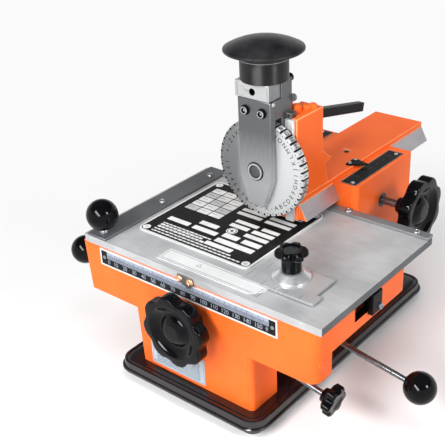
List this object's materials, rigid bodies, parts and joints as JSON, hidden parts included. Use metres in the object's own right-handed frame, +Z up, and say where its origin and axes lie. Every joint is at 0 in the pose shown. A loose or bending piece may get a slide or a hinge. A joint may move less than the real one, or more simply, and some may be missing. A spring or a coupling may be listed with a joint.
{
  "type": "nameplate marking machine",
  "caption": "Bench embossing machine: sliding table, rack driven arm and table, turning type wheel on a ram pressed by a palm button, on a base with rubber feet.",
  "frame": {"origin": "centre of the machine's footprint, on the surface that its feet stand on", "axes": "+X to the operator's right, +Y from the operator to the back, +Z up"},
  "size_m": [0.3323, 0.321, 0.268],
  "materials": {
    "orange_paint": "smooth glossy stove enamel",
    "painted_arm": "enamel on top, ground steel on the dovetail's flanks",
    "black_base": "black gloss enamel",
    "rubber": "matt",
    "zinc_screws": "zinc plated",
    "black_steel": "blackened",
    "polished_steel": "polished bar",
    "bronze": "turned bush metal",
    "scale_print": "printed scale plate",
    "plate_print": "bare plate",
    "brushed_aluminium": "brushed",
    "grey_iron": "machined",
    "aluminium_block": "milled",
    "brass_screws": "nickelled round heads",
    "bright_aluminium": "fine milled",
    "nameplate_print": "anodised print",
    "gear_steel": "hobbed",
    "dark_plate": "blackened sheet",
    "black_bakelite": "moulded phenolic",
    "chromed_steel": "polished",
    "ground_steel": "ground",
    "satin_steel": "satin",
    "spring_steel": "drawn wire"
  },
  "bodies": {
    "frame": {"base_plate": "black_base", "rubber_feet": "rubber", "base_screws": "zinc_screws", "body_casting": "orange_paint", "rear_support": "orange_paint", "stop_block": "black_steel", "guide_rods": "polished_steel", "feed_bushes": "bronze", "front_scale": "scale_print", "data_plate": "plate_print", "rear_column": "orange_paint", "column_bushes": "bronze", "dovetail_gib": "bronze", "column_scale": "scale_print"},
    "table": {"table_plate": "brushed_aluminium", "cross_slide": "grey_iron", "bearing_blocks": "aluminium_block", "rod_bushes": "bronze", "left_strip": "brushed_aluminium", "rear_strip": "brushed_aluminium", "table_screws": "brass_screws", "gauge_plate": "bright_aluminium", "nameplate": "nameplate_print", "table_rack": "gear_steel", "front_pointer": "dark_plate", "table_ball": "black_bakelite"},
    "clamp": {"clamp_plate": "brushed_aluminium"},
    "clamp_screw": {"clamp_knob": "black_bakelite", "clamp_cone": "chromed_steel"},
    "feed_wheel": {"feed_handwheel": "black_bakelite", "feed_shaft": "polished_steel", "feed_pinion": "gear_steel"},
    "arm": {"arm_slide": "painted_arm", "arm_rack": "gear_steel", "arm_pointer": "dark_plate", "head_bracket": "orange_paint", "slide_gibs": "ground_steel", "return_spring": "spring_steel"},
    "arm_wheel": {"arm_handwheel": "black_bakelite", "arm_shaft": "polished_steel", "arm_pinion": "gear_steel"},
    "head": {"ram": "ground_steel", "cheek_plate": "ground_steel", "spacer_block": "ground_steel", "top_block": "bright_aluminium", "cheek_screws": "zinc_screws", "wheel_axle": "ground_steel", "button_sleeve": "black_bakelite", "palm_button": "black_bakelite", "rear_knob": "black_bakelite"},
    "type_wheel": {"type_wheel": "satin_steel"},
    "ball_lever": {"lever_rod": "polished_steel", "lever_ball": "black_bakelite"},
    "pull_knob": {"pull_rod": "polished_steel", "pull_ball": "black_bakelite"},
    "pitch_screw": {"pitch_rod": "polished_steel", "pitch_knob": "black_bakelite"},
    "index_lever": {"index_lever": "black_steel"},
    "lock_knob": {"lock_knob": "black_bakelite"}
  },
  "joints": [
    {"name": "table_slide", "type": "slide", "parent": "frame", "child": "table", "axis": [1, 0, 0], "range_m": [-0.08, 0.07]},
    {"name": "feed_turn", "type": "hinge", "parent": "frame", "child": "feed_wheel", "pos_m": [0, -0.078, 0.0775], "axis": [0, 1, 0], "range_deg": [-294, 257]},
    {"name": "arm_travel", "type": "slide", "parent": "frame", "child": "arm", "axis": [0, -1, 0], "range_m": [-0.03, 0.038]},
    {"name": "arm_turn", "type": "hinge", "parent": "frame", "child": "arm_wheel", "pos_m": [0.046, 0.055, 0.11048], "axis": [1, 0, 0], "range_deg": [-111, 140]},
    {"name": "press", "type": "slide", "parent": "arm", "child": "head", "axis": [0, 0, -1], "range_m": [0, 0.01], "stiffness_N_per_m": 1500, "springref_m": -0.012, "deforming": ["return_spring"]},
    {"name": "type_turn", "type": "hinge", "parent": "head", "child": "type_wheel", "pos_m": [0, -0.046, 0.167], "axis": [0, 1, 0], "continuous": true},
    {"name": "clamp_shift", "type": "slide", "parent": "table", "child": "clamp", "axis": [1, 0, 0], "range_m": [-0.005, 0.005]},
    {"name": "clamp_turn", "type": "hinge", "parent": "table", "child": "clamp_screw", "pos_m": [0.0646, -0.1, 0.1246], "axis": [0, 0, 1], "continuous": true},
    {"name": "lever_press", "type": "hinge", "parent": "frame", "child": "ball_lever", "pos_m": [0.0347, -0.066, 0.0597], "axis": [0, 1, 0], "range_deg": [0, 12], "stiffness_Nm_per_rad": 0.5, "springref_deg": -17.19},
    {"name": "pull", "type": "slide", "parent": "frame", "child": "pull_knob", "axis": [-1, 0, 0], "range_m": [0, 0.01], "stiffness_N_per_m": 300, "springref_m": -0.01},
    {"name": "pitch_turn", "type": "hinge", "parent": "frame", "child": "pitch_screw", "pos_m": [0.0547, -0.122, 0.06], "axis": [0.9803, 0, -0.1977], "continuous": true},
    {"name": "index_swing", "type": "hinge", "parent": "arm", "child": "index_lever", "pos_m": [0, -0.007, 0.195], "axis": [1, 0, 0], "range_deg": [-10, 10]},
    {"name": "lock_turn", "type": "hinge", "parent": "frame", "child": "lock_knob", "pos_m": [-0.0403, 0.101, 0.115], "axis": [0, 1, 0], "range_deg": [0, 180]}
  ],
  "couplings": [
    {"joint": "feed_turn", "follows": "table_slide", "rad_per_m": 64},
    {"joint": "arm_turn", "follows": "arm_travel", "rad_per_m": 64}
  ]
}
